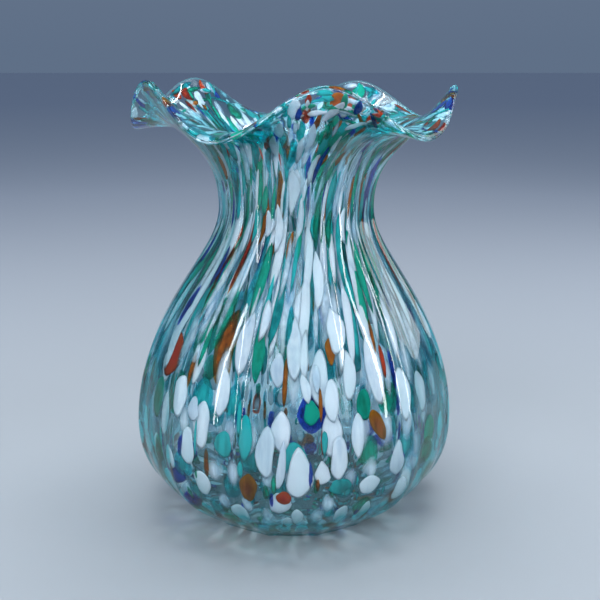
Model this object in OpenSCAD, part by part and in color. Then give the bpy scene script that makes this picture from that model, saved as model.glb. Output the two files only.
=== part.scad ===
// Hand blown art glass vase: two clear gathers with chips of coloured glass
// melted between them, blown in a mould with twelve ribs, and a ruffled lip.
// The origin is the centre of the ground resting face, +Z is up and -Y is the front.
// Azimuths are degrees from the front, positive towards +X.

/* [Lip] */
// Height of the lip at the top of each ruffle
crest_z = 220.5; // [212:0.5:228]
// Radius of the lip at the top of each ruffle
crest_r = 79; // [70:0.5:82]
// Height of the lip at the bottom of each ruffle
trough_z = 196; // [190:0.5:202]
// Radius of the lip at the bottom of each ruffle
trough_r = 83; // [74:0.5:86]
// Number of ruffles
ruffles = 5; // [4:1:7]
// Azimuth of the first ruffle's top
crest_az = 10; // [0:1:71]
// How much higher the ruffles stand on the lip's high side, and lower on the other
lip_tilt = 2; // [0:0.5:4]
// Azimuth of the lip's high side
lip_tilt_az = -50; // [-180:5:180]
// Thickness of the glass at the lip
lip_t = 3.6; // [2.8:0.1:4.5]

/* [Body] */
// Radius of the ground face that the vase rests on
foot_r = 45; // [40:0.5:50]
// Largest radius of the belly
belly_r = 80.2; // [75:0.2:86]
// Height of the belly's largest radius
belly_z = 52; // [48:0.5:58]
// Smallest radius of the neck
neck_r = 38.6; // [36:0.2:43]
// Height of the narrowest part of the neck
neck_z = 160; // [154:0.5:166]
// Sideways lean of the neck and lip, towards +X
lean = 2; // [0:0.5:4]
// Thickness of the wall from the belly to the neck
wall = 4.4; // [3.6:0.1:5.2]
// Thickness of the solid floor
floor_t = 10; // [8:0.5:13]

/* [Ribs] */
// Number of ribs from the optic mould
ribs = 12; // [8:1:16]
// Height of a rib on the belly
rib_h = 1.7; // [0.5:0.1:2.4]
// Azimuth of the first rib
rib_az = 15; // [0:1:44]

/* [Coloured glass] */
// White chips in a row around each white layer
white_columns = 38; // [24:1:40]
// Coloured chips in a row around each coloured layer
colour_columns = 26; // [16:1:28]
// Thickness of a chip at its middle
chip_t = 0.8; // [0.5:0.1:0.8]
// Share of the places in the white layers that hold a chip
white_fill = 0.78; // [0.4:0.02:0.8]
// Share of the places in the coloured layers that hold a chip
colour_fill = 0.56; // [0.4:0.02:0.8]
// Sideways lean of the chips along the neck, in degrees of azimuth per unit of the meridian
neck_lean = 14; // [0:2:40]

/* [Hidden] */

// Depth in the wall: 0 is the outer skin, 1 the inner skin
OUTER = 0;
SEAM = 0.5;
INNER = 1;

// The meridian is three Bezier curves end to end, each over one unit of its parameter:
// foot to belly, belly to neck, and neck to lip.
FOOT_ROWS = 8;
SHOULDER_ROWS = 8;
FLARE_ROWS = 9;
RING_POINTS = 48;

// Layers of chips: [depth in the wall, chips in a row, share filled, white, staggered, seed].
// The first two lie in the outer casing and the other two in the inner gather.
LAYERS = [
    [0.17, white_columns, white_fill, true, false, 11],
    [0.39, colour_columns, colour_fill, false, true, 31],
    [0.61, white_columns, white_fill, true, true, 51],
    [0.83, colour_columns, colour_fill, false, false, 71]
];

// Where one row of chips ends and the next begins along the meridian: short rows at the foot
// and the lip, long ones at the neck, where the glass was drawn out
ROW_EDGES = [0.04, 0.30, 0.52, 0.75, 0.94, 1.09, 1.25, 1.47, 1.77, 2.20, 2.46, 2.68, 2.85, 2.975];
FOOT_ZONE_END = 0.6;
LIP_ZONE_START = 2.3;
LEAN_START = 1.5;
LEAN_END = 2.7;

// Shares of the coloured chips, running totals in the order of COLOURS
COLOURS = ["teal", "green", "blue", "amber", "red"];
FOOT_SHARES = [0.30, 0.54, 0.78, 0.90, 1.0];
BODY_SHARES = [0.54, 0.84, 0.92, 0.97, 1.0];
LIP_SHARES = [0.34, 0.66, 0.80, 0.91, 1.0];

// Chips in the lip are narrower than the others
LIP_NARROWING = 0.55;

// The largest chips, placed by hand:
// [colour, middle parameter, half length, middle azimuth, half width, lean]
LARGE_CHIPS = [
    ["white", 0.86, 0.06, 27, 3.8, 0],
    ["white", 0.94, 0.12, 2, 4.4, 0],
    ["white", 0.96, 0.08, 38, 3.0, 0],
    ["white", 0.98, 0.10, -4, 1.4, 1],
    ["white", 1.01, 0.08, 15, 2.8, 0],
    ["white", 1.03, 0.09, -9, 3.0, 0],
    ["white", 1.08, 0.07, 22, 2.4, 0],
    ["white", 1.14, 0.04, -37, 2.4, 0],
    ["white", 1.18, 0.09, 42, 2.8, 0],
    ["white", 1.20, 0.07, 13, 2.6, 0],
    ["white", 1.21, 0.08, -26, 2.8, 0],
    ["white", 1.24, 0.05, 4, 1.7, -1],
    ["white", 1.27, 0.05, 8, 1.4, 0],
    ["white", 1.29, 0.13, 31, 3.4, 0],
    ["white", 1.30, 0.06, -6, 2.4, 0],
    ["white", 1.38, 0.12, 0, 2.8, 0],
    ["white", 1.39, 0.12, -20, 3.4, 1],
    ["white", 1.44, 0.09, 17, 4.0, 0],
    ["white", 1.66, 0.14, 12, 2.8, 1],
    ["white", 1.93, 0.14, -12, 2.6, 0],
    ["white", 1.95, 0.08, -19, 3.2, 0],
    ["white", 2.17, 0.17, -2, 3.6, 1],
    ["white", 2.58, 0.14, -11, 1.9, 1],
    ["white", 2.60, 0.12, -23, 2.7, 0],
    ["white", 2.65, 0.13, 6, 1.9, 1],
    ["white", 2.77, 0.08, -107, 1.6, 0],
    ["white", 2.80, 0.06, 23, 1.7, 3],
    ["white", 2.86, 0.07, 13, 1.9, 3],
    ["white", 2.88, 0.09, 106, 1.9, 0],
    ["white", 2.91, 0.07, -115, 1.9, 0],
    ["teal", 0.88, 0.05, 16, 3.8, 0],
    ["teal", 1.05, 0.04, -24, 3.4, 0],
    ["teal", 1.08, 0.07, -16, 2.2, 0],
    ["teal", 1.52, 0.14, -8, 2.2, 2],
    ["teal", 1.64, 0.15, 29, 2.6, 0],
    ["teal", 1.76, 0.16, 49, 3.0, 0],
    ["teal", 2.02, 0.13, 4, 2.8, 0],
    ["teal", 2.13, 0.18, -46, 2.8, 0],
    ["teal", 2.72, 0.09, 2, 1.9, 0],
    ["green", 1.13, 0.07, -58, 3.6, 0],
    ["green", 1.16, 0.04, 6, 2.6, 0],
    ["green", 1.17, 0.05, 25, 2.8, 0],
    ["green", 1.35, 0.10, -14, 2.2, 0],
    ["green", 2.66, 0.10, 18, 2.2, 4],
    ["green", 2.80, 0.08, 114, 1.9, 0],
    ["green", 2.84, 0.07, -112, 1.4, 0],
    ["green", 2.93, 0.05, 16, 1.2, 0],
    ["blue", 2.90, 0.05, 28, 1.2, -3],
    ["blue", 2.90, 0.05, -142, 1.4, 0],
    ["blue", 2.93, 0.05, 21, 1.2, 0],
    ["blue", 2.93, 0.05, 52, 1.5, 0],
    ["blue", 2.93, 0.05, 78, 1.6, 0],
    ["blue", 2.94, 0.04, -76, 1.7, 0],
    ["blue", 2.94, 0.04, -95, 1.5, 0],
    ["amber", 0.87, 0.09, -15, 2.8, 0],
    ["amber", 1.10, 0.05, 30, 2.8, -2],
    ["amber", 1.36, 0.05, 14, 1.7, 0],
    ["amber", 1.83, 0.08, -4, 1.5, 2],
    ["amber", 2.06, 0.11, 21, 1.6, 1],
    ["amber", 2.44, 0.08, 26, 2.0, 2],
    ["amber", 2.45, 0.07, 14, 2.6, 1],
    ["amber", 2.77, 0.05, 16, 1.2, 1],
    ["amber", 2.79, 0.07, 8, 1.2, 1],
    ["amber", 2.84, 0.08, -131, 1.4, 0],
    ["amber", 2.86, 0.04, 24, 1.2, -2],
    ["amber", 2.93, 0.05, -86, 1.2, 0],
    ["red", 0.81, 0.05, -3, 2.6, 0],
    ["red", 2.92, 0.05, -14, 1.5, 2],
    ["red", 2.93, 0.05, -136, 1.4, 0],
    ["red", 2.94, 0.03, 4, 1.2, 0],
    ["red", 2.94, 0.04, 86, 1.2, 0],
    ["red", 2.94, 0.04, -122, 1.2, 0]
];
LARGE_WHITE_DEPTH = 0.17;
LARGE_COLOUR_DEPTH = 0.39;

// ---- numbers ----

function mix(a, b, k) = a + (b - a) * k;

function bezier(p, t) =
    pow(1 - t, 3) * p[0] + 3 * pow(1 - t, 2) * t * p[1]
    + 3 * (1 - t) * t * t * p[2] + t * t * t * p[3];

// A repeatable number from 0 to 1 for three whole numbers
function scatter(a, b, c) =
    let (v = sin(a * 127.1 + b * 311.7 + c * 74.7) * 43758.5453)
    v - floor(v);

// ---- the wall ----

// 1 at the top of a ruffle and 0 at the bottom of one
function ruffle(az) = (1 + cos(ruffles * (az - crest_az))) / 2;

function foot_curve(w) =
    let (r = belly_r - w * wall)
    [
        [mix(foot_r, foot_r - 14, w), w * floor_t],
        [mix(foot_r + 8, foot_r + 14, w), mix(8.2, floor_t, w)],
        [r, belly_z - mix(35.7, 29, w)],
        [r, belly_z]
    ];

function shoulder_curve(w) =
    let (r = belly_r - w * wall, n = neck_r - w * wall)
    [[r, belly_z], [r, belly_z + 55.6], [n, neck_z - 25.5], [n, neck_z]];

function flare_curve(w, k) =
    let (n = neck_r - w * wall, inset = w * lip_t)
    [
        [n, neck_z],
        [n, mix(189.5, 188, k) - w * 0.5],
        [mix(44, 60, k) - inset * mix(0.4, 0.8, k), mix(203, 191, k) + inset * mix(0.6, 0.3, k)],
        [mix(trough_r, crest_r, k) - inset * mix(0.1, 0.9, k), mix(trough_z, crest_z, k)
            + inset * mix(0.95, 0.1, k)]
    ];

// Radius and height at parameter t, depth w and ruffle share k
function meridian(t, w, k) =
    t < 1 ? bezier(foot_curve(w), t)
    : t < 2 ? bezier(shoulder_curve(w), t - 1)
    : bezier(flare_curve(w, k), t - 2);

// Height of a rib above the smooth skin
function rib(t, az) =
    let (size = t < 1 ? mix(0.7, 1, t) : t < 2 ? mix(1, 0.6, t - 1) : mix(0.6, 0.15, t - 2))
    rib_h * size * pow(max(0, cos(ribs * (az - rib_az))), 3);

// How much the lip's tilt lifts a place: most at the tops of the ruffles, and nothing below
function tilt(t, az) = lip_tilt * ruffle(az) * cos(az - lip_tilt_az) * pow(max(0, t - 2), 2);

function skin_point(t, az, w) =
    let (
        m = meridian(t, w, ruffle(az)),
        r = m[0] + (1 - w) * rib(t, az),
        z = m[1] + tilt(t, az),
        shift = lean * min(1, m[1] / neck_z)
    )
    [r * sin(az) + shift, -r * cos(az), z];

ROW_PARAMETERS = concat(
    [for (i = [0 : FOOT_ROWS - 1]) i / FOOT_ROWS],
    [for (i = [0 : SHOULDER_ROWS - 1]) 1 + i / SHOULDER_ROWS],
    [for (i = [0 : FLARE_ROWS]) 2 + i / FLARE_ROWS]
);

function ring_az(i) = rib_az + i * 360 / RING_POINTS;

function skin_rings(w) =
    [for (t = ROW_PARAMETERS) [for (i = [0 : RING_POINTS - 1]) skin_point(t, ring_az(i), w)]];

function reversed(list) = [for (i = [len(list) - 1 : -1 : 0]) list[i]];

function flat(lists) = [for (list = lists) for (item = list) item];

// A closed layer of glass between two depths, with its floor
module glass_layer(outside, inside) {
    rings = concat(skin_rings(outside), reversed(skin_rings(inside)));
    n = RING_POINTS;
    under = len(rings) * n;
    top = under + 1;
    last = (len(rings) - 1) * n;
    points = concat(flat(rings), [[0, 0, outside * floor_t], [0, 0, inside * floor_t]]);
    walls = [
        for (j = [0 : len(rings) - 2]) for (i = [0 : n - 1])
            let (a = j * n + i, b = j * n + (i + 1) % n)
            each [[a, a + n, b], [b, a + n, b + n]]
    ];
    underside = [for (i = [0 : n - 1]) [under, i, (i + 1) % n]];
    floor_top = [for (i = [0 : n - 1]) [top, last + (i + 1) % n, last + i]];
    polyhedron(points, concat(walls, underside, floor_top), convexity = 8);
}

// ---- the chips ----

// A chip is [middle parameter, half length, middle azimuth, half width, lean, depth].
// It is a thin pointed oval that follows the wall: two tips, two points on each side,
// and a point at the middle of its outer and inner faces.
function chip_point(c, along, across, bulge) =
    let (
        t = c[0] + along * c[1],
        az = c[2] + across * c[3] + along * c[4],
        thickness = norm(skin_point(t, az, INNER) - skin_point(t, az, OUTER))
    )
    skin_point(t, az, c[5] + bulge * chip_t / 2 / thickness);

CHIP_OUTLINE = [[-1, 0], [-0.45, -0.92], [0.45, -0.92], [1, 0], [0.45, 0.92], [-0.45, 0.92]];

function chip_points(c) = concat(
    [for (p = CHIP_OUTLINE) chip_point(c, p[0], p[1], 0)],
    [chip_point(c, 0, 0, -1), chip_point(c, 0, 0, 1)]
);

CHIP_FACES = [
    for (i = [0 : 5])
        let (after = (i + 1) % 6)
        each [[i, after, 6], [after, i, 7]]
];

// Deeper layers have rows that start half way along the rows in front of them
function staggered(edges) = concat(
    [edges[0]],
    [for (i = [0 : len(edges) - 2]) (edges[i] + edges[i + 1]) / 2],
    [edges[len(edges) - 1]]
);

function layer_edges(layer) = layer[4] ? staggered(ROW_EDGES) : ROW_EDGES;

function shares_at(t) =
    t < FOOT_ZONE_END ? FOOT_SHARES : t < LIP_ZONE_START ? BODY_SHARES : LIP_SHARES;

function colour_of(layer, row, column, t) =
    let (pick = scatter(row, column, layer[5] + 5), shares = shares_at(t))
    layer[3] ? "white" : [for (i = [0 : len(COLOURS) - 1]) if (pick < shares[i]) COLOURS[i]][0];

function grid_chip(layer, low, high, row, column) =
    let (
        seed = layer[5],
        room = (high - low) / 2,
        pitch = 360 / layer[1],
        half_length = room * mix(0.72, 0.98, scatter(row, column, seed)),
        half_width = pitch / 2 * mix(0.42, 0.82, scatter(row, column, seed + 1))
            * (low < LIP_ZONE_START ? 1 : LIP_NARROWING),
        spare = pitch / 2 * 0.94 - half_width,
        start = row % 2 == 0 ? 0 : 0.5,
        t = low + room + (room - half_length) * mix(-1, 1, scatter(row, column, seed + 3))
    )
    [
        t,
        half_length,
        (column + start) * pitch + spare * mix(-1, 1, scatter(row, column, seed + 2)),
        half_width,
        t > LEAN_START && t < LEAN_END ? neck_lean * half_length : 0,
        layer[0]
    ];

// The angle between two azimuths, from 0 to 180
function apart(a, b) = abs((a - b + 540) % 360 - 180);

function meets_large_chip(c) = len([
    for (l = LARGE_CHIPS)
        if (abs(c[0] - l[1]) < c[1] + l[2] && apart(c[2], l[3]) < c[3] + l[4] + abs(c[4])) 1
]) > 0;

function layer_chips(layer, colour) =
    let (edges = layer_edges(layer))
    [
        for (row = [0 : len(edges) - 2]) for (column = [0 : layer[1] - 1])
            let (c = grid_chip(layer, edges[row], edges[row + 1], row, column))
            if (scatter(row, column, layer[5] + 4) < layer[2]
                && colour_of(layer, row, column, c[0]) == colour
                && (layer[0] > SEAM || !meets_large_chip(c)))
                c
    ];

function large_chips(colour) = [
    for (l = LARGE_CHIPS)
        if (l[0] == colour)
            let (depth = colour == "white" ? LARGE_WHITE_DEPTH : LARGE_COLOUR_DEPTH)
            [l[1], l[2], l[3], l[4], l[5], depth]
];

module frit(colour) {
    for (c = large_chips(colour))
        polyhedron(chip_points(c), CHIP_FACES, convexity = 2);
    for (layer = LAYERS)
        for (c = layer_chips(layer, colour))
            polyhedron(chip_points(c), CHIP_FACES, convexity = 2);
}

// ---- the pieces ----

module inner_gather() {
    color([0.80, 0.90, 0.93, 0.35]) glass_layer(SEAM, INNER);
}

module outer_casing() {
    color([0.78, 0.90, 0.92, 0.30]) glass_layer(OUTER, SEAM);
}

module white_frit() {
    color([0.88, 0.93, 0.96]) frit("white");
}

module teal_frit() {
    color([0.10, 0.56, 0.53]) frit("teal");
}

module green_frit() {
    color([0.05, 0.47, 0.31]) frit("green");
}

module blue_frit() {
    color([0.06, 0.19, 0.63]) frit("blue");
}

module amber_frit() {
    color([0.78, 0.34, 0.10]) frit("amber");
}

module red_frit() {
    color([0.75, 0.19, 0.09]) frit("red");
}

inner_gather();
outer_casing();
white_frit();
teal_frit();
green_frit();
blue_frit();
amber_frit();
red_frit();
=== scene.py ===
"""The looks of a hand blown art glass vase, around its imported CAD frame.

Sizes are in millimetres until the meshes are made, and in metres for materials, lights and the
camera. Azimuths are degrees from the front, positive towards +X. The wall, the ribs, the
ruffles and the places of the chips follow the same formulas as the CAD model, at a finer step
and with the softness of blown glass.
"""

from math import radians

import bpy
import numpy as np
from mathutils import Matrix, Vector

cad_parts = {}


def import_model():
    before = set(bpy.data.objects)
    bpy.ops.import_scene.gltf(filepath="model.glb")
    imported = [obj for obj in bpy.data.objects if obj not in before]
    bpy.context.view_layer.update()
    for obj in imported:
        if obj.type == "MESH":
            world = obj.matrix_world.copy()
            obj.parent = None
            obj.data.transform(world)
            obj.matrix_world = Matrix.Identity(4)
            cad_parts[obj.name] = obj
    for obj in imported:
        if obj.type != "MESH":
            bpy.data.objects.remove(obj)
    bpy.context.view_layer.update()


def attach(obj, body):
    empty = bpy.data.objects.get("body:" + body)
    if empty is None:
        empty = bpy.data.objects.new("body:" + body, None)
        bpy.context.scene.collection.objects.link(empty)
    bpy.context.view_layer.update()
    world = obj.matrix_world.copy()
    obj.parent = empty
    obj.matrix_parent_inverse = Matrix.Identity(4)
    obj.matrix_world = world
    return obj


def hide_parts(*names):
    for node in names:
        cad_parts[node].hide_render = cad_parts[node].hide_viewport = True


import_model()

MM = 0.001

# ---- the vase's sizes ----

CREST_Z = 220.5
CREST_R = 79.0
TROUGH_Z = 196.0
TROUGH_R = 83.0
RUFFLES = 5
CREST_AZ = 10.0
LIP_TILT = 2.0
LIP_TILT_AZ = -50.0
LIP_T = 3.6
FOOT_R = 45.0
BELLY_R = 80.2
BELLY_Z = 52.0
NECK_R = 38.6
NECK_Z = 160.0
LEAN = 2.0
WALL = 4.4
FLOOR_T = 10.0
RIBS = 12
RIB_H = 1.7
RIB_AZ = 15.0

# Depth in the wall: 0 is the outer skin, 1 the inner skin
OUTER = 0.0
SEAM = 0.5
INNER = 1.0

# ---- the chips' places ----

CHIP_T = 0.8
NECK_LEAN = 14.0

# No chip or splinter reaches beyond this parameter, where the lip's bead ends
LIP_ROWS_END = 2.99

# Depth in the wall, chips in a row, share filled, white, staggered, seed
LAYERS = [
    (0.17, 38, 0.78, True, False, 11),
    (0.39, 26, 0.56, False, True, 31),
    (0.61, 38, 0.78, True, True, 51),
    (0.83, 26, 0.56, False, False, 71),
]
ROW_EDGES = [0.04, 0.30, 0.52, 0.75, 0.94, 1.09, 1.25, 1.47, 1.77, 2.20, 2.46, 2.68, 2.85, 2.975]
FOOT_ZONE_END = 0.6
LIP_ZONE_START = 2.3
COLOURS = ["teal", "green", "blue", "amber", "red"]
FOOT_SHARES = [0.30, 0.54, 0.78, 0.90, 1.0]
BODY_SHARES = [0.54, 0.84, 0.92, 0.97, 1.0]
LIP_SHARES = [0.34, 0.66, 0.80, 0.91, 1.0]
LIP_NARROWING = 0.55

# The largest chips, placed one by one:
# colour, middle parameter, half length, middle azimuth, half width, lean
LARGE_CHIPS = [
    ("white", 0.86, 0.06, 27, 3.8, 0),
    ("white", 0.94, 0.12, 2, 4.4, 0),
    ("white", 0.96, 0.08, 38, 3.0, 0),
    ("white", 0.98, 0.10, -4, 1.4, 1),
    ("white", 1.01, 0.08, 15, 2.8, 0),
    ("white", 1.03, 0.09, -9, 3.0, 0),
    ("white", 1.08, 0.07, 22, 2.4, 0),
    ("white", 1.14, 0.04, -37, 2.4, 0),
    ("white", 1.18, 0.09, 42, 2.8, 0),
    ("white", 1.20, 0.07, 13, 2.6, 0),
    ("white", 1.21, 0.08, -26, 2.8, 0),
    ("white", 1.24, 0.05, 4, 1.7, -1),
    ("white", 1.27, 0.05, 8, 1.4, 0),
    ("white", 1.29, 0.13, 31, 3.4, 0),
    ("white", 1.30, 0.06, -6, 2.4, 0),
    ("white", 1.38, 0.12, 0, 2.8, 0),
    ("white", 1.39, 0.12, -20, 3.4, 1),
    ("white", 1.44, 0.09, 17, 4.0, 0),
    ("white", 1.66, 0.14, 12, 2.8, 1),
    ("white", 1.93, 0.14, -12, 2.6, 0),
    ("white", 1.95, 0.08, -19, 3.2, 0),
    ("white", 2.17, 0.17, -2, 3.6, 1),
    ("white", 2.58, 0.14, -11, 1.9, 1),
    ("white", 2.60, 0.12, -23, 2.7, 0),
    ("white", 2.65, 0.13, 6, 1.9, 1),
    ("white", 2.77, 0.08, -107, 1.6, 0),
    ("white", 2.80, 0.06, 23, 1.7, 3),
    ("white", 2.86, 0.07, 13, 1.9, 3),
    ("white", 2.88, 0.09, 106, 1.9, 0),
    ("white", 2.91, 0.07, -115, 1.9, 0),
    ("teal", 0.88, 0.05, 16, 3.8, 0),
    ("teal", 1.05, 0.04, -24, 3.4, 0),
    ("teal", 1.08, 0.07, -16, 2.2, 0),
    ("teal", 1.52, 0.14, -8, 2.2, 2),
    ("teal", 1.64, 0.15, 29, 2.6, 0),
    ("teal", 1.76, 0.16, 49, 3.0, 0),
    ("teal", 2.02, 0.13, 4, 2.8, 0),
    ("teal", 2.13, 0.18, -46, 2.8, 0),
    ("teal", 2.72, 0.09, 2, 1.9, 0),
    ("green", 1.13, 0.07, -58, 3.6, 0),
    ("green", 1.16, 0.04, 6, 2.6, 0),
    ("green", 1.17, 0.05, 25, 2.8, 0),
    ("green", 1.35, 0.10, -14, 2.2, 0),
    ("green", 2.66, 0.10, 18, 2.2, 4),
    ("green", 2.80, 0.08, 114, 1.9, 0),
    ("green", 2.84, 0.07, -112, 1.4, 0),
    ("green", 2.93, 0.05, 16, 1.2, 0),
    ("blue", 2.90, 0.05, 28, 1.2, -3),
    ("blue", 2.90, 0.05, -142, 1.4, 0),
    ("blue", 2.93, 0.05, 21, 1.2, 0),
    ("blue", 2.93, 0.05, 52, 1.5, 0),
    ("blue", 2.93, 0.05, 78, 1.6, 0),
    ("blue", 2.94, 0.04, -76, 1.7, 0),
    ("blue", 2.94, 0.04, -95, 1.5, 0),
    ("amber", 0.87, 0.09, -15, 2.8, 0),
    ("amber", 1.10, 0.05, 30, 2.8, -2),
    ("amber", 1.36, 0.05, 14, 1.7, 0),
    ("amber", 1.83, 0.08, -4, 1.5, 2),
    ("amber", 2.06, 0.11, 21, 1.6, 1),
    ("amber", 2.44, 0.08, 26, 2.0, 2),
    ("amber", 2.45, 0.07, 14, 2.6, 1),
    ("amber", 2.77, 0.05, 16, 1.2, 1),
    ("amber", 2.79, 0.07, 8, 1.2, 1),
    ("amber", 2.84, 0.08, -131, 1.4, 0),
    ("amber", 2.86, 0.04, 24, 1.2, -2),
    ("amber", 2.93, 0.05, -86, 1.2, 0),
    ("red", 0.81, 0.05, -3, 2.6, 0),
    ("red", 2.92, 0.05, -14, 1.5, 2),
    ("red", 2.93, 0.05, -136, 1.4, 0),
    ("red", 2.94, 0.03, 4, 1.2, 0),
    ("red", 2.94, 0.04, 86, 1.2, 0),
    ("red", 2.94, 0.04, -122, 1.2, 0),
]
LARGE_WHITE_DEPTH = 0.17
LARGE_COLOUR_DEPTH = 0.39

# Zones of splinters: share of them, lowest and highest parameter, and how long and wide they are
# beside the plain ones. They are the wall, the lip, the lip's rim and the floor.
SLIVER_ZONES = [
    (0.54, 0.1, 2.9, 1, 1),
    (0.24, 2.45, 2.95, 1, 1.5),
    (0.10, 2.82, 2.98, 0.3, 5),
    (0.12, -0.7, 0.15, 1, 3.4),
]
WHITE_SLIVERS_START = 1.3

# ---- mesh fineness ----

SKIN_AZIMUTHS = 240
FOOT_STEPS = 34
SHOULDER_STEPS = 36
FLARE_STEPS = 40
BEAD_STEPS = 5

# Length of the flare along its meridian, from the neck to the lip
FLARE_LENGTH = 107.0

CHIP_AROUND = 20
CHIP_RINGS = (0.5, 0.85, 1.0)
SLIVER_AROUND = 10
SLIVER_RINGS = (0.6, 1.0)

# ---- looks ----

# Tint, tint of the faint streaks, and tint of the glass where it is deepest
OUTER_TINTS = ((0.80, 0.93, 0.99), (0.62, 0.88, 0.93), (0.00, 0.26, 0.29))
INNER_TINTS = ((0.84, 0.95, 0.99), (0.70, 0.89, 0.95), (0.05, 0.43, 0.49))

# Height in metres below which the glass takes on the deep tint of its thick floor
BASE_TINT_HEIGHT = 0.04

# Darkest and lightest colour, the share of light let through, a veil's clear colour, splinters
FRIT_LOOKS = {
    "white": ((0.50, 0.61, 0.74), (0.82, 0.87, 0.94), 0.45, (0.84, 0.95, 0.98), 640),
    "teal": ((0.00, 0.24, 0.26), (0.04, 0.60, 0.62), 0.6, (0.34, 0.84, 0.88), 440),
    "green": ((0.00, 0.20, 0.13), (0.01, 0.50, 0.36), 0.6, (0.24, 0.78, 0.68), 280),
    "blue": ((0.00, 0.01, 0.16), (0.02, 0.10, 0.50), 0.6, (0.25, 0.42, 0.88), 110),
    "amber": ((0.16, 0.04, 0.00), (0.60, 0.17, 0.02), 0.6, (0.88, 0.58, 0.30), 70),
    "red": ((0.24, 0.01, 0.00), (0.62, 0.06, 0.02), 0.6, (0.88, 0.40, 0.26), 40),
}

# Shares of the chips that are thin veils: by colour below the lip, and for all colours in it
VEILED_SHARES = {"white": 0.5, "teal": 0.7, "green": 0.7, "blue": 0.9, "amber": 0.7, "red": 0.9}
LIP_VEILED_SHARE = 0.4
NECK_MORE_VEILED = 0.15

# ---- the studio's colours, in linear light ----

# The floor's colours by distance from the vase: darker close by, lighter about a metre out, and far out
# painted shade towards blue-grey, standing in for the lamps' light falling off
FLOOR_NEAR = (0.31, 0.345, 0.38)
FLOOR_MIDDLE = (0.42, 0.47, 0.55)
FLOOR_FAR_PAINTED_SHADE = (0.325, 0.385, 0.505)

# Distance in metres at which the floor's painted shade reaches its far colour
FLOOR_SHADE_REACH = 4.0

ROOM_LOW = (0.10, 0.14, 0.21)
ROOM_MIDDLE = (0.13, 0.17, 0.24)
ROOM_HIGH = (0.26, 0.31, 0.39)
ROOM_STRENGTH = 1.15

# ---- the camera, close by and a little above the lip ----

CAMERA_PLACE = (0.0038, -0.505, 0.237)
CAMERA_DOWN = 14.1
CAMERA_LENS = 60.6
VASE_MIDDLE = (0, 0, 0.1)


# ---- numbers ----

def mix(a, b, k):
    return a + (b - a) * k


def bezier(points, t):
    s = 1 - t
    weights = (s ** 3, 3 * s * s * t, 3 * s * t * t, t ** 3)
    return [sum(w * p[i] for w, p in zip(weights, points)) for i in (0, 1)]


def scatter(a, b, c):
    """The same repeatable number from 0 to 1 as in the CAD model."""
    v = np.sin(np.radians(a * 127.1 + b * 311.7 + c * 74.7)) * 43758.5453
    return v - np.floor(v)


# ---- the wall ----

def ruffle(az):
    return (1 + np.cos(np.radians(RUFFLES * (az - CREST_AZ)))) / 2


def foot_curve(w):
    r = BELLY_R - w * WALL
    return [
        (mix(FOOT_R, FOOT_R - 14, w), w * FLOOR_T),
        (mix(FOOT_R + 8, FOOT_R + 14, w), mix(8.2, FLOOR_T, w)),
        (r, BELLY_Z - mix(35.7, 29, w)),
        (r, BELLY_Z),
    ]


def shoulder_curve(w):
    r, n = BELLY_R - w * WALL, NECK_R - w * WALL
    return [(r, BELLY_Z), (r, BELLY_Z + 55.6), (n, NECK_Z - 25.5), (n, NECK_Z)]


def flare_curve(w, k):
    n, inset = NECK_R - w * WALL, w * LIP_T
    return [
        (n, NECK_Z),
        (n, mix(189.5, 188, k) - w * 0.5),
        (mix(44, 60, k) - inset * mix(0.4, 0.8, k), mix(203, 191, k) + inset * mix(0.6, 0.3, k)),
        (mix(TROUGH_R, CREST_R, k) - inset * mix(0.1, 0.9, k),
         mix(TROUGH_Z, CREST_Z, k) + inset * mix(0.95, 0.1, k)),
    ]


def meridian(t, w, k):
    """Radius and height at parameter t, depth w and ruffle share k. Below 0 it is the floor's."""
    floor_r = (1 + t) * mix(FOOT_R, FOOT_R - 14, w), w * FLOOR_T
    pieces = [
        bezier(foot_curve(w), t),
        bezier(shoulder_curve(w), t - 1),
        bezier(flare_curve(w, k), t - 2),
    ]
    wall = [np.where(t < 1, pieces[0][i], np.where(t < 2, pieces[1][i], pieces[2][i]))
            for i in (0, 1)]
    return [np.where(t < 0, floor_r[i], wall[i]) for i in (0, 1)]


def rib(t, az):
    size = np.interp(t, (-0.3, 0, 1, 2, 3), (0, 0.7, 1, 0.6, 0.15))
    return RIB_H * size * np.maximum(0, np.cos(np.radians(RIBS * (az - RIB_AZ)))) ** 3


def tilt(t, az):
    """How much the lip's tilt lifts a place: most at the tops of the ruffles."""
    return LIP_TILT * ruffle(az) * np.cos(np.radians(az - LIP_TILT_AZ)) * np.maximum(0, t - 2) ** 2


def skin_point(t, az, w):
    """Points of the wall, one row each, in millimetres."""
    t, az, w = np.broadcast_arrays(*(np.asarray(v, dtype=float) for v in (t, az, w)))
    r, z = meridian(t, w, ruffle(az))
    r = r + (1 - w) * rib(t, az)
    a = np.radians(az)
    shift = LEAN * np.minimum(1, z / NECK_Z)
    return np.stack([r * np.sin(a) + shift, -r * np.cos(a), z + tilt(t, az)], axis=-1)


# ---- meshes ----

def new_piece(name, points, faces, materials, slots=None, node=None):
    """A smooth mesh object in metres, which stands for a CAD node."""
    mesh = bpy.data.meshes.new(name)
    mesh.from_pydata((points * MM).tolist(), [], faces)
    mesh.polygons.foreach_set("use_smooth", [True] * len(mesh.polygons))
    for material in materials:
        mesh.materials.append(material)
    if slots is not None:
        mesh.polygons.foreach_set("material_index", slots)
    mesh.update()
    piece = bpy.data.objects.new(name, mesh)
    bpy.context.scene.collection.objects.link(piece)
    if node:
        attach(piece, "root")
        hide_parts(node)
    return piece


def ring_faces(rings, around):
    """Quads between neighbouring rings of points, first ring to last."""
    i = np.arange(around)
    after = (i + 1) % around
    return [
        face
        for j in range(rings - 1)
        for face in np.stack([j * around + i, j * around + after,
                              (j + 1) * around + after, (j + 1) * around + i], axis=1).tolist()
    ]


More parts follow.
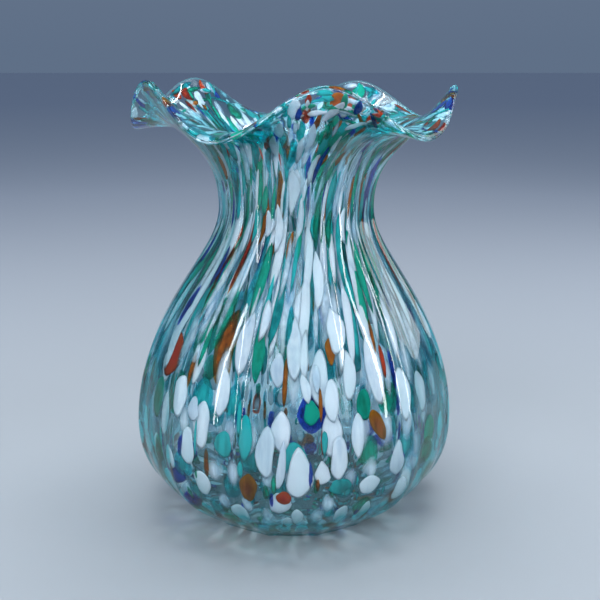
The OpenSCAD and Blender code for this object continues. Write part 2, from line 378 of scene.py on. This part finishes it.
def skin_parameters(lip_end):
    return np.concatenate([
        np.linspace(0, 1, FOOT_STEPS, endpoint=False),
        np.linspace(1, 2, SHOULDER_STEPS, endpoint=False),
        np.linspace(2, lip_end, FLARE_STEPS),
    ])


def lip_bead(az, lip_end, start, end):
    """Rings of the fire-polished lip, round from one skin to the other."""
    outer = skin_point(lip_end, az, OUTER)
    inner = skin_point(lip_end, az, INNER)
    middle = (outer + inner) / 2
    across = (outer - inner) / 2
    along = skin_point(lip_end, az, SEAM) - skin_point(lip_end - 0.02, az, SEAM)
    half = np.linalg.norm(across, axis=1, keepdims=True)
    along = along / np.linalg.norm(along, axis=1, keepdims=True) * half
    turns = np.radians(np.linspace(start, end, BEAD_STEPS + 1))
    return [middle + across * np.cos(b) + along * np.sin(b) for b in turns]


def glass_layer(name, near, bead_start, materials):
    """A closed layer from a polished skin to the seam: the skin, half of the lip, and the seam."""
    az = RIB_AZ + np.arange(SKIN_AZIMUTHS) * 360 / SKIN_AZIMUTHS
    lip_end = 3 - (LIP_T / 2 + 0.3) / FLARE_LENGTH
    rows = skin_parameters(lip_end)
    skin = [skin_point(t, az, near) for t in rows]
    bead = lip_bead(az, lip_end, bead_start, 90)[1:]
    seam = [skin_point(t, az, SEAM) for t in rows[::-1]]
    rings = skin + bead + seam
    polished = len(skin) + len(bead) - 1
    points = np.concatenate(rings)
    faces = ring_faces(len(rings), SKIN_AZIMUTHS)
    slots = [0 if j < polished else 1 for j in range(len(rings) - 1) for _ in range(SKIN_AZIMUTHS)]
    floor_rings = (0.97, 0.9, 0.6, 0.3)
    for at, height, slot in ((0, near * FLOOR_T, 0), (len(rings) - 1, SEAM * FLOOR_T, 1)):
        edge = points[at * SKIN_AZIMUTHS:(at + 1) * SKIN_AZIMUTHS] if at == 0 else seam[-1]
        before = np.arange(SKIN_AZIMUTHS) + at * SKIN_AZIMUTHS
        for share in floor_rings:
            start = len(points)
            ring = edge * share
            ring[:, 2] = height
            points = np.concatenate([points, ring])
            after = np.arange(SKIN_AZIMUTHS) + start
            quads = np.stack([before, after, np.roll(after, -1), np.roll(before, -1)], axis=1)
            faces += (quads if at == 0 else quads[:, ::-1]).tolist()
            slots += [slot] * SKIN_AZIMUTHS
            before = after
        centre = len(points)
        points = np.concatenate([points, [[0, 0, height]]])
        fan = np.stack([before, np.full(SKIN_AZIMUTHS, centre), np.roll(before, -1)], axis=1)
        faces += (fan if at == 0 else fan[:, ::-1]).tolist()
        slots += [slot] * SKIN_AZIMUTHS
    if near > SEAM:
        faces = [face[::-1] for face in faces]
    return new_piece(name, points, faces, materials, slots, name)


# ---- the chips ----

def layer_edges(staggered):
    """Ends of the rows of chips: a staggered layer's start half way along the others'."""
    if not staggered:
        return ROW_EDGES
    middles = [(low + high) / 2 for low, high in zip(ROW_EDGES, ROW_EDGES[1:])]
    return [ROW_EDGES[0], *middles, ROW_EDGES[-1]]


def drawn_out(t):
    """How far the glass was drawn out at a place: 0 on the belly and the lip, 1 on the neck."""
    return np.clip((t - 1.2) / 0.4, 0, 1) * np.clip((2.8 - t) / 0.3, 0, 1)


def colour_of(layer, row, column, t):
    if layer[3]:
        return "white"
    shares = FOOT_SHARES if t < FOOT_ZONE_END else BODY_SHARES if t < LIP_ZONE_START else LIP_SHARES
    pick = scatter(row, column, layer[5] + 5)
    return next(colour for colour, share in zip(COLOURS, shares) if pick < share)


def grid_chip(layer, low, high, row, column):
    """Middle parameter, half length, middle azimuth, half width, lean and depth."""
    depth, columns, seed = layer[0], layer[1], layer[5]
    room = (high - low) / 2
    pitch = 360 / columns
    half_length = room * mix(0.72, 0.98, scatter(row, column, seed))
    narrowing = 1 if low < LIP_ZONE_START else LIP_NARROWING
    half_width = pitch / 2 * mix(0.42, 0.82, scatter(row, column, seed + 1)) * narrowing
    spare = pitch / 2 * 0.94 - half_width
    start = 0 if row % 2 == 0 else 0.5
    t = low + room + (room - half_length) * mix(-1, 1, scatter(row, column, seed + 3))
    az = (column + start) * pitch + spare * mix(-1, 1, scatter(row, column, seed + 2))
    drawn = drawn_out(t)
    stretch = 1.2 if high == ROW_EDGES[-1] else 1 + 0.8 * drawn
    half_length = min(half_length * stretch, LIP_ROWS_END - t)
    half_width = half_width * (1 - 0.15 * drawn)
    return t, half_length, az, half_width, NECK_LEAN * half_length * drawn, depth


def meets_large_chip(chip):
    t, half_length, az, half_width, lean, _ = chip
    for _, large_t, large_length, large_az, large_width, _ in LARGE_CHIPS:
        apart = abs((az - large_az + 540) % 360 - 180)
        if abs(t - large_t) < half_length + large_length and apart < half_width + large_width + abs(lean):
            return True
    return False


def chips_of(colour):
    depth = LARGE_WHITE_DEPTH if colour == "white" else LARGE_COLOUR_DEPTH
    chips = [(*large[1:], depth) for large in LARGE_CHIPS if large[0] == colour]
    for layer in LAYERS:
        edges = layer_edges(layer[4])
        for row, (low, high) in enumerate(zip(edges, edges[1:])):
            for column in range(layer[1]):
                chip = grid_chip(layer, low, high, row, column)
                if scatter(row, column, layer[5] + 4) < layer[2] \
                        and colour_of(layer, row, column, chip[0]) == colour \
                        and (layer[0] > SEAM or not meets_large_chip(chip)):
                    chips.append(chip)
    return np.array(chips)


def slivers(colour, count, random):
    """Splinters and drawn threads of the same glass. White ones leave the belly free."""
    shares, starts, ends, lengths, widths = zip(*SLIVER_ZONES)
    if colour == "white":
        starts = (WHITE_SLIVERS_START, *starts[1:])
    counts = [round(count * share) for share in shares]
    count = sum(counts)
    t = np.concatenate([random.uniform(*zone) for zone in zip(starts, ends, counts)])
    drawn = drawn_out(t)
    half_length = random.uniform(0.03, 0.07, count) * (1 + 2.2 * drawn) * np.repeat(lengths, counts)
    half_length = np.minimum(half_length, LIP_ROWS_END - t)
    half_width = random.uniform(0.5, 1.2, count) * (1.3 * drawn + np.repeat(widths, counts))
    az = random.uniform(0, 360, count)
    lean = NECK_LEAN * half_length * drawn
    depth = random.choice([layer[0] for layer in LAYERS], count)
    return np.stack([t, half_length, az, half_width, lean, depth], axis=1)


def chip_rings(around_count, ring_sizes):
    """Polar places on a chip and the side of each, from the outer face's middle to the inner's."""
    angle = np.arange(around_count) * 2 * np.pi / around_count
    inward = ring_sizes[-2::-1]
    rho = np.concatenate([[0.0], np.repeat(ring_sizes, around_count),
                          np.repeat(inward, around_count), [0.0]])
    around = np.concatenate([[0.0], np.tile(angle, len(ring_sizes) + len(inward)), [0.0]])
    side = np.concatenate([[-1.0], -np.ones(len(ring_sizes) * around_count),
                           np.ones(len(inward) * around_count), [1.0]])
    return rho, around, side


def chip_faces(around_count, rings):
    """Faces of one chip: a cap of triangles at each end and bands of quads between."""
    bands = np.array(ring_faces(rings, around_count)) + 1
    i = np.arange(around_count)
    after = (i + 1) % around_count
    first = np.stack([np.zeros_like(i), 1 + after, 1 + i], axis=1)
    base = 1 + (rings - 1) * around_count
    last = np.stack([np.full_like(i, base + around_count), base + i, base + after], axis=1)
    return bands, first, last


def chip_mesh(chips, random, around_count, ring_sizes):
    """Points, faces and rim distances of soft flattened ovals, each with its own outline."""
    count = len(chips)
    middle_t, half_length, middle_az, half_width, lean, depth = (
        chips[:, i][:, None] for i in range(6))
    rho, around, side = chip_rings(around_count, ring_sizes)
    phase = random.uniform(0, 2 * np.pi, (count, 4))
    drawn = drawn_out(middle_t)
    point = random.uniform(0, 0.3, (count, 1)) + drawn * random.uniform(0.1, 0.5, (count, 1))
    skew = random.uniform(-0.2, 0.2, (count, 1))
    wobble = 1 + 0.06 * np.sin(2 * around + phase[:, 0:1]) \
        + 0.08 * np.sin(3 * around + phase[:, 1:2]) + 0.05 * np.sin(5 * around + phase[:, 2:3])
    along = rho * np.cos(around)
    across = rho * np.sin(around) * np.abs(np.sin(around)) ** point * (1 + skew * along) * wobble
    bend = (0.2 + 0.5 * drawn) * np.sin(phase[:, 3:4]) * half_width
    t = middle_t + along * half_length
    az = middle_az + across * half_width + along * lean + bend * (along ** 2 - 0.4)
    wall = np.linalg.norm(skin_point(t, az, INNER) - skin_point(t, az, OUTER), axis=-1)
    bulge = side * np.sqrt(np.maximum(0, 1 - rho ** 2))
    points = skin_point(t, az, depth + bulge * CHIP_T / 2 / wall)
    one_chip = chip_faces(around_count, 2 * len(ring_sizes) - 1)
    faces = [face for n in range(count) for part in one_chip
             for face in (part + n * len(rho)).tolist()]
    return points.reshape(-1, 3), faces, np.tile(rho, count)


def frit(colour, materials, sliver_count, seed):
    """One colour's chips and splinters. The listed large chips are dense, and a share of the
    others are thin veils."""
    random = np.random.default_rng(seed)
    chips = chips_of(colour)
    points, faces, rim = chip_mesh(chips, random, CHIP_AROUND, CHIP_RINGS)
    tone = random.uniform(0, 1, len(chips))
    by_hand = np.arange(len(chips)) < sum(large[0] == colour for large in LARGE_CHIPS)
    veiled_share = np.where(chips[:, 0] < LIP_ZONE_START, VEILED_SHARES[colour], LIP_VEILED_SHARE)
    veiled_share = veiled_share + NECK_MORE_VEILED * drawn_out(chips[:, 0])
    veiled = (tone < veiled_share) & ~by_hand
    splinters = slivers(colour, sliver_count, random)
    sliver_count = len(splinters)
    more = chip_mesh(splinters, random, SLIVER_AROUND, SLIVER_RINGS)
    more_tone = random.uniform(0, 1, sliver_count)
    each, more_each = (len(p) // n for p, n in ((points, len(chips)), (more[0], sliver_count)))
    slots = np.concatenate([
        np.repeat(veiled.astype(int), len(faces) // len(chips)),
        np.repeat((more_tone < LIP_VEILED_SHARE).astype(int), len(more[1]) // sliver_count),
    ])
    faces = faces + [[corner + len(points) for corner in face] for face in more[1]]
    name = colour + "_frit"
    piece = new_piece(name, np.concatenate([points, more[0]]), faces, materials, slots, name)
    tones = np.concatenate([np.repeat(tone, each), np.repeat(more_tone, more_each)])
    for label, value in (("tone", tones), ("rim", np.concatenate([rim, more[2]]))):
        piece.data.attributes.new(label, "FLOAT", "POINT").data.foreach_set("value", value)
    return piece


# ---- materials ----

def material_tree(name):
    material = bpy.data.materials.new(name)
    material.use_nodes = True
    tree = material.node_tree
    tree.nodes.clear()
    output = tree.nodes.new("ShaderNodeOutputMaterial")
    return material, tree, output


def node(tree, kind, **values):
    made = tree.nodes.new(kind)
    for key, value in values.items():
        key = key.replace("_", " ")
        made.inputs[key].default_value = value
    return made


def noise(tree, scale, detail=4.0, stretch=None):
    """Noise in the object's own metres, drawn out upwards if stretch is given."""
    place = tree.nodes.new("ShaderNodeTexCoord")
    texture = node(tree, "ShaderNodeTexNoise", Scale=scale, Detail=detail)
    source = place.outputs["Object"]
    if stretch:
        mapping = tree.nodes.new("ShaderNodeMapping")
        mapping.inputs["Scale"].default_value = (1, 1, stretch)
        tree.links.new(source, mapping.inputs["Vector"])
        source = mapping.outputs["Vector"]
    tree.links.new(source, texture.inputs["Vector"])
    return texture.outputs["Fac"]


def ramp(tree, source, stops):
    made = tree.nodes.new("ShaderNodeValToRGB")
    elements = made.color_ramp.elements
    while len(elements) < len(stops):
        elements.new(0.5)
    for element, (place, colour) in zip(elements, stops):
        element.position = place
        element.color = (*colour, 1)
    tree.links.new(source, made.inputs["Fac"])
    return made.outputs["Color"]


def blended(tree, share, first, second):
    """Two colours mixed by a share of the second: sockets, or the second as a colour."""
    made = node(tree, "ShaderNodeMix")
    made.data_type = "RGBA"
    factor, first_socket, second_socket = made.inputs[0], made.inputs[6], made.inputs[7]
    tree.links.new(share, factor)
    tree.links.new(first, first_socket)
    second_socket.default_value = (*second, 1)
    return made.outputs[2]


def clear_glass(name, tint, shade, deep):
    """Clear glass with faint drawn streaks in its tint and the soft waves of a blown skin.

    Its tint is deep where the sight line runs along the wall and so through more glass, and
    in the thick glass of the floor.
    """
    material, tree, output = material_tree(name)
    shader = node(tree, "ShaderNodeBsdfPrincipled", Transmission_Weight=1.0, IOR=1.5, Roughness=0.0)
    colour = ramp(tree, noise(tree, 55, 4, 0.18), [(0.40, tint), (0.70, shade)])
    grazing = node(tree, "ShaderNodeLayerWeight", Blend=0.5)
    edge = ramp(tree, grazing.outputs["Facing"], [(0.2, (0, 0, 0)), (0.65, (1, 1, 1))])
    height = node(tree, "ShaderNodeSeparateXYZ")
    tree.links.new(node(tree, "ShaderNodeTexCoord").outputs["Object"], height.inputs[0])
    base = ramp(tree, scaled(tree, height.outputs["Z"], 1 / BASE_TINT_HEIGHT).outputs[0],
                [(0.1, (0.75, 0.75, 0.75)), (0.8, (0, 0, 0))])
    share = node(tree, "ShaderNodeMath")
    share.operation = "MAXIMUM"
    tree.links.new(edge, share.inputs[0])
    tree.links.new(base, share.inputs[1])
    tinted = blended(tree, share.outputs[0], colour, deep)
    tree.links.new(tinted, shader.inputs["Base Color"])
    bump = node(tree, "ShaderNodeBump", Strength=0.25, Distance=0.0006)
    tree.links.new(noise(tree, 70, 2, 0.3), bump.inputs["Height"])
    tree.links.new(bump.outputs["Normal"], shader.inputs["Normal"])
    tree.links.new(shader.outputs["BSDF"], output.inputs["Surface"])
    return material


def fused_seam():
    """Where two layers are melted together nothing shows, so light goes straight on."""
    material, tree, output = material_tree("fused_seam")
    shader = node(tree, "ShaderNodeBsdfTransparent")
    tree.links.new(shader.outputs["BSDF"], output.inputs["Surface"])
    return material


def scaled(tree, source, factor, added=0.0):
    made = node(tree, "ShaderNodeMath")
    made.operation = "MULTIPLY_ADD"
    made.inputs[1].default_value = factor
    made.inputs[2].default_value = added
    tree.links.new(source, made.inputs[0])
    return made


def attribute(tree, name):
    made = node(tree, "ShaderNodeAttribute")
    made.attribute_name = name
    return made.outputs["Fac"]


def mixed(tree, share, first, second):
    """Two shaders mixed by a share of the second, a number or a socket."""
    made = node(tree, "ShaderNodeMixShader")
    if isinstance(share, float):
        made.inputs[0].default_value = share
    else:
        tree.links.new(share, made.inputs[0])
    tree.links.new(first, made.inputs[1])
    tree.links.new(second, made.inputs[2])
    return made.outputs["Shader"]


def frit_glass(name, dark, light, through, clear=None):
    """Coloured glass: its colour varies from chip to chip and along each.

    A clear colour makes it a veil, which thins towards its rim and lets that colour through.
    """
    material, tree, output = material_tree(name)
    streaks = noise(tree, 320, 5, 0.12)
    blend = scaled(tree, attribute(tree, "tone"), 0.5)
    tree.links.new(streaks, blend.inputs[2])
    colour = ramp(tree, blend.outputs[0], [(0.45, dark), (0.85, light)])
    rim = attribute(tree, "rim")
    if not clear:
        edge = ramp(tree, rim, [(0.3, (0, 0, 0)), (1.0, (0.5, 0.5, 0.5))])
        colour = blended(tree, edge, colour, [channel ** 0.5 * 0.95 for channel in dark])
    body = node(tree, "ShaderNodeBsdfPrincipled", Roughness=0.5, Specular_IOR_Level=0.0)
    glow = node(tree, "ShaderNodeBsdfTranslucent")
    tree.links.new(colour, body.inputs["Base Color"])
    tree.links.new(colour, glow.inputs["Color"])
    surface = mixed(tree, through, body.outputs["BSDF"], glow.outputs["BSDF"])
    if clear:
        open_glass = node(tree, "ShaderNodeBsdfTransparent", Color=(*clear, 1))
        cover = ramp(tree, rim, [(0.3, (1, 1, 1)), (1.0, (0, 0, 0))])
        share = node(tree, "ShaderNodeMath")
        share.operation = "MULTIPLY"
        tree.links.new(cover, share.inputs[0])
        tree.links.new(scaled(tree, streaks, 1.1, 0.15).outputs[0], share.inputs[1])
        surface = mixed(tree, share.outputs[0], open_glass.outputs["BSDF"], surface)
    tree.links.new(surface, output.inputs["Surface"])
    return material


# ---- the studio ----

def floor():
    """A pale table with painted shade that darkens it to blue-grey far behind the vase, where the lamps'
    light would fall off.
    """
    material, tree, output = material_tree("studio_floor_painted_shade")
    place = node(tree, "ShaderNodeTexCoord")
    distance = node(tree, "ShaderNodeVectorMath")
    distance.operation = "LENGTH"
    tree.links.new(place.outputs["Object"], distance.inputs[0])
    reach = node(tree, "ShaderNodeMath")
    reach.operation = "MULTIPLY"
    reach.inputs[1].default_value = 1 / FLOOR_SHADE_REACH
    tree.links.new(distance.outputs["Value"], reach.inputs[0])
    # Colour by distance from the vase: far out it is painted shade
    colour = ramp(tree, reach.outputs[0],
                  [(0.06, FLOOR_NEAR), (0.3, FLOOR_MIDDLE), (1.0, FLOOR_FAR_PAINTED_SHADE)])
    shader = node(tree, "ShaderNodeBsdfPrincipled", Roughness=0.45, Specular_IOR_Level=0.25)
    tree.links.new(colour, shader.inputs["Base Color"])
    tree.links.new(shader.outputs["BSDF"], output.inputs["Surface"])
    size = 9000.0
    corners = np.array([(-size, -size, 0), (size, -size, 0), (size, size, 0), (-size, size, 0)])
    ground = new_piece("studio_floor_painted_shade", corners, [(0, 1, 2, 3)], [material])


def world():
    """A blue-grey room, brightest overhead."""
    made = bpy.data.worlds.new("studio")
    made.use_nodes = True
    tree = made.node_tree
    place = node(tree, "ShaderNodeTexCoord")
    split = node(tree, "ShaderNodeSeparateXYZ")
    tree.links.new(place.outputs["Generated"], split.inputs[0])
    colour = ramp(tree, split.outputs["Z"],
                  [(0.0, ROOM_LOW), (0.25, ROOM_MIDDLE), (1.0, ROOM_HIGH)])
    tree.links.new(colour, tree.nodes["Background"].inputs["Color"])
    tree.nodes["Background"].inputs["Strength"].default_value = ROOM_STRENGTH
    bpy.context.scene.world = made


def softbox(name, place, aim, width, height, power, mirrored=True):
    """An area light. Where mirrored is set it shows in the glass as a bright shape."""
    light = bpy.data.lights.new(name, "AREA")
    light.shape = "RECTANGLE"
    light.size = width
    light.size_y = height
    light.energy = power
    lamp = bpy.data.objects.new(name, light)
    lamp.location = place
    lamp.visible_glossy = mirrored
    direction = Vector(aim) - Vector(place)
    lamp.rotation_euler = direction.to_track_quat("-Z", "Y").to_euler()
    bpy.context.scene.collection.objects.link(lamp)


def camera():
    """Close by and a little above the lip, as the vase was seen."""
    data = bpy.data.cameras.new("camera")
    data.sensor_width = 36
    data.lens = CAMERA_LENS
    data.clip_start = 0.01
    made = bpy.data.objects.new("camera", data)
    made.location = CAMERA_PLACE
    made.rotation_euler = (radians(90 - CAMERA_DOWN), 0, 0)
    bpy.context.scene.collection.objects.link(made)
    bpy.context.scene.camera = made


def light_paths():
    """Enough bounces for light to cross every skin and chip of both walls."""
    cycles = bpy.context.scene.cycles
    cycles.max_bounces = 24
    cycles.transmission_bounces = 24
    cycles.transparent_max_bounces = 64
    cycles.glossy_bounces = 8
    cycles.caustics_reflective = False


def picture():
    """Plain colours, as a camera's own picture shows them."""
    bpy.context.scene.view_settings.view_transform = "Standard"


# ---- the scene ----

seam = fused_seam()
casing = glass_layer("outer_casing", OUTER, 0,
                     [clear_glass("clear_outer", *OUTER_TINTS), seam])
gather = glass_layer("inner_gather", INNER, 180,
                     [clear_glass("clear_inner", *INNER_TINTS), seam])
for shell in (casing, gather):
    shell.visible_shadow = False

for number, (colour, (dark, light, through, clear, splinters)) in enumerate(FRIT_LOOKS.items()):
    dense = frit_glass(colour + "_glass", dark, light, through)
    veil = frit_glass(colour + "_veil", dark, light, through, clear)
    frit(colour, [dense, veil], splinters, 100 + number)

floor()
world()
softbox("left_strip", (-0.62, -0.42, 0.32), VASE_MIDDLE, 0.02, 0.75, 0.6)
softbox("right_strip", (0.66, -0.30, 0.32), VASE_MIDDLE, 0.03, 0.75, 1.0)
softbox("left_softbox", (-0.85, 0.25, 0.55), VASE_MIDDLE, 0.5, 0.8, 2, mirrored=False)
softbox("right_softbox", (0.85, 0.35, 0.55), VASE_MIDDLE, 0.5, 0.8, 3)
softbox("top_softbox", (0.0, 0.05, 0.95), VASE_MIDDLE, 0.5, 0.5, 7, mirrored=False)
softbox("top_strip", (0.1, 0.15, 0.9), VASE_MIDDLE, 0.5, 0.03, 1)
softbox("front_softbox", (-0.5, -1.6, 1.5), VASE_MIDDLE, 1.4, 1.2, 27, mirrored=False)
softbox("low_softbox", (0.4, -1.3, 0.3), VASE_MIDDLE, 0.8, 0.5, 5.5, mirrored=False)
camera()
light_paths()
picture()
